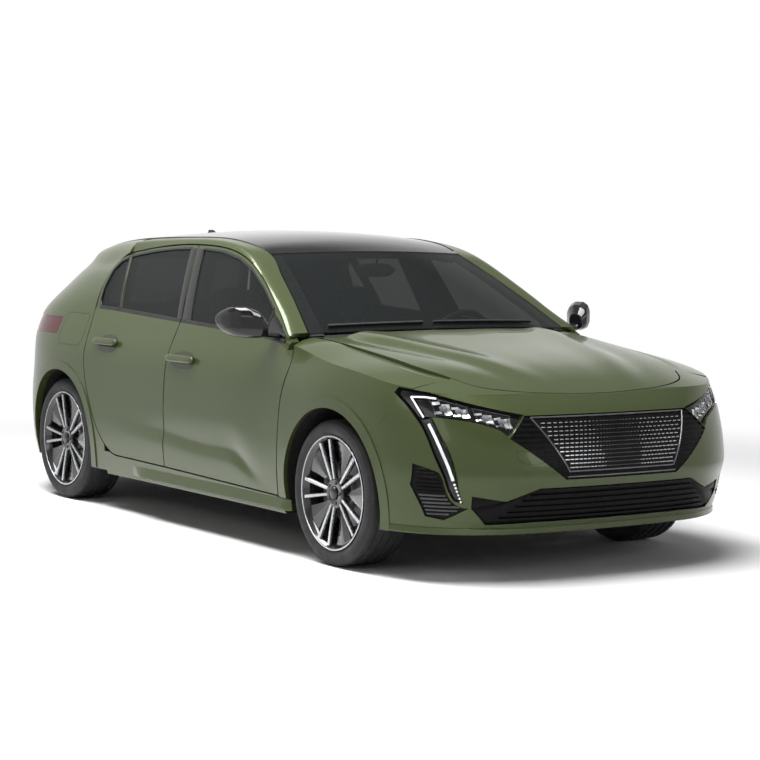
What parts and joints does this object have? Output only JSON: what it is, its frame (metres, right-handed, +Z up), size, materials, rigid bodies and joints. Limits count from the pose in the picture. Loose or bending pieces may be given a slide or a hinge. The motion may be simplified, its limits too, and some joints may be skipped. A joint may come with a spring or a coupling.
{
  "type": "hatchback car",
  "caption": "Hatchback car with opening doors, hood and tailgate, steered front wheels and a furnished cabin.",
  "frame": {"origin": "on the ground below the middle of the overall box", "axes": "+X forward, +Y the car's left, +Z up"},
  "size_m": [4.364, 2.066, 1.4359],
  "materials": {
    "paint": "metallic gloss",
    "black_gloss": "gloss",
    "black_matte": "matte",
    "glass": "gloss",
    "lamp": "gloss",
    "red_lamp": "gloss",
    "tyre": "matte",
    "alloy": "bright",
    "steel": "satin",
    "iron": "matte",
    "seat_fabric": "woven"
  },
  "bodies": {
    "body": {"body_shell": "steel", "side_frame_left": "paint", "side_frame_right": "paint", "front_wing_left": "paint", "front_wing_right": "paint", "front_bumper": "paint", "headlamps": "lamp", "upper_grille": "black_gloss", "lower_grille": "black_matte", "roof_panel": "black_gloss", "windscreen": "glass", "wipers": "black_matte", "rear_bumper": "paint", "rear_diffuser": "black_matte", "tail_lamps": "red_lamp", "dashboard": "black_matte", "cabin_seats": "seat_fabric", "engine_block": "iron", "front_subframe": "steel", "rear_axle_beam": "steel"},
    "hood_panel": {"hood": "paint"},
    "tailgate_panel": {"tailgate": "paint", "tailgate_glass": "glass", "tailgate_lamps": "red_lamp"},
    "steering_wheel_body": {"steering_wheel": "black_matte"},
    "front_door_left_body": {"front_door_left": "paint", "front_door_glass_left": "glass", "mirror_left": "black_gloss"},
    "rear_door_left_body": {"rear_door_left": "paint", "rear_door_glass_left": "glass"},
    "knuckle_left": {"front_knuckle_left": "iron"},
    "front_wheel_left": {"front_tyre_left": "tyre", "front_rim_left": "alloy"},
    "rear_wheel_left": {"rear_tyre_left": "tyre", "rear_rim_left": "alloy"},
    "front_door_right_body": {"front_door_right": "paint", "front_door_glass_right": "glass", "mirror_right": "black_gloss"},
    "rear_door_right_body": {"rear_door_right": "paint", "rear_door_glass_right": "glass"},
    "knuckle_right": {"front_knuckle_right": "iron"},
    "front_wheel_right": {"front_tyre_right": "tyre", "front_rim_right": "alloy"},
    "rear_wheel_right": {"rear_tyre_right": "tyre", "rear_rim_right": "alloy"}
  },
  "joints": [
    {"name": "hood_hinge", "type": "hinge", "parent": "body", "child": "hood_panel", "pos_m": [0.925, 0, 0.955], "axis": [0, -1, 0], "range_deg": [0, 50]},
    {"name": "tailgate_hinge", "type": "hinge", "parent": "body", "child": "tailgate_panel", "pos_m": [-1.47, 0, 1.3715], "axis": [0, 1, 0], "range_deg": [0, 80]},
    {"name": "front_door_left_hinge", "type": "hinge", "parent": "body", "child": "front_door_left_body", "pos_m": [0.815, 0.891, 0.54], "axis": [0, 0, -1], "range_deg": [0, 65]},
    {"name": "rear_door_left_hinge", "type": "hinge", "parent": "body", "child": "rear_door_left_body", "pos_m": [-0.285, 0.889, 0.615], "axis": [0, 0, -1], "range_deg": [0, 70]},
    {"name": "steer_left", "type": "hinge", "parent": "body", "child": "knuckle_left", "pos_m": [1.2885, 0.7295, 0.319], "axis": [0, 0, 1], "range_deg": [-35, 35]},
    {"name": "front_wheel_left_spin", "type": "hinge", "parent": "knuckle_left", "child": "front_wheel_left", "pos_m": [1.2885, 0.7795, 0.319], "axis": [0, 1, 0], "continuous": true},
    {"name": "rear_wheel_left_spin", "type": "hinge", "parent": "body", "child": "rear_wheel_left", "pos_m": [-1.3865, 0.7765, 0.319], "axis": [0, 1, 0], "continuous": true},
    {"name": "front_door_right_hinge", "type": "hinge", "parent": "body", "child": "front_door_right_body", "pos_m": [0.815, -0.891, 0.54], "axis": [0, 0, 1], "range_deg": [0, 65]},
    {"name": "rear_door_right_hinge", "type": "hinge", "parent": "body", "child": "rear_door_right_body", "pos_m": [-0.285, -0.889, 0.615], "axis": [0, 0, 1], "range_deg": [0, 70]},
    {"name": "steer_right", "type": "hinge", "parent": "body", "child": "knuckle_right", "pos_m": [1.2885, -0.7295, 0.319], "axis": [0, 0, 1], "range_deg": [-35, 35]},
    {"name": "front_wheel_right_spin", "type": "hinge", "parent": "knuckle_right", "child": "front_wheel_right", "pos_m": [1.2885, -0.7795, 0.319], "axis": [0, 1, 0], "continuous": true},
    {"name": "rear_wheel_right_spin", "type": "hinge", "parent": "body", "child": "rear_wheel_right", "pos_m": [-1.3865, -0.7765, 0.319], "axis": [0, 1, 0], "continuous": true},
    {"name": "steering_wheel_turn", "type": "hinge", "parent": "body", "child": "steering_wheel_body", "pos_m": [0.478, 0.37, 0.875], "axis": [-0.9063, 0, 0.4226], "range_deg": [-525, 525]}
  ],
  "couplings": [
    {"joint": "steer_left", "follows": "steer_right", "ratio": 1},
    {"joint": "steering_wheel_turn", "follows": "steer_right", "ratio": 15}
  ]
}
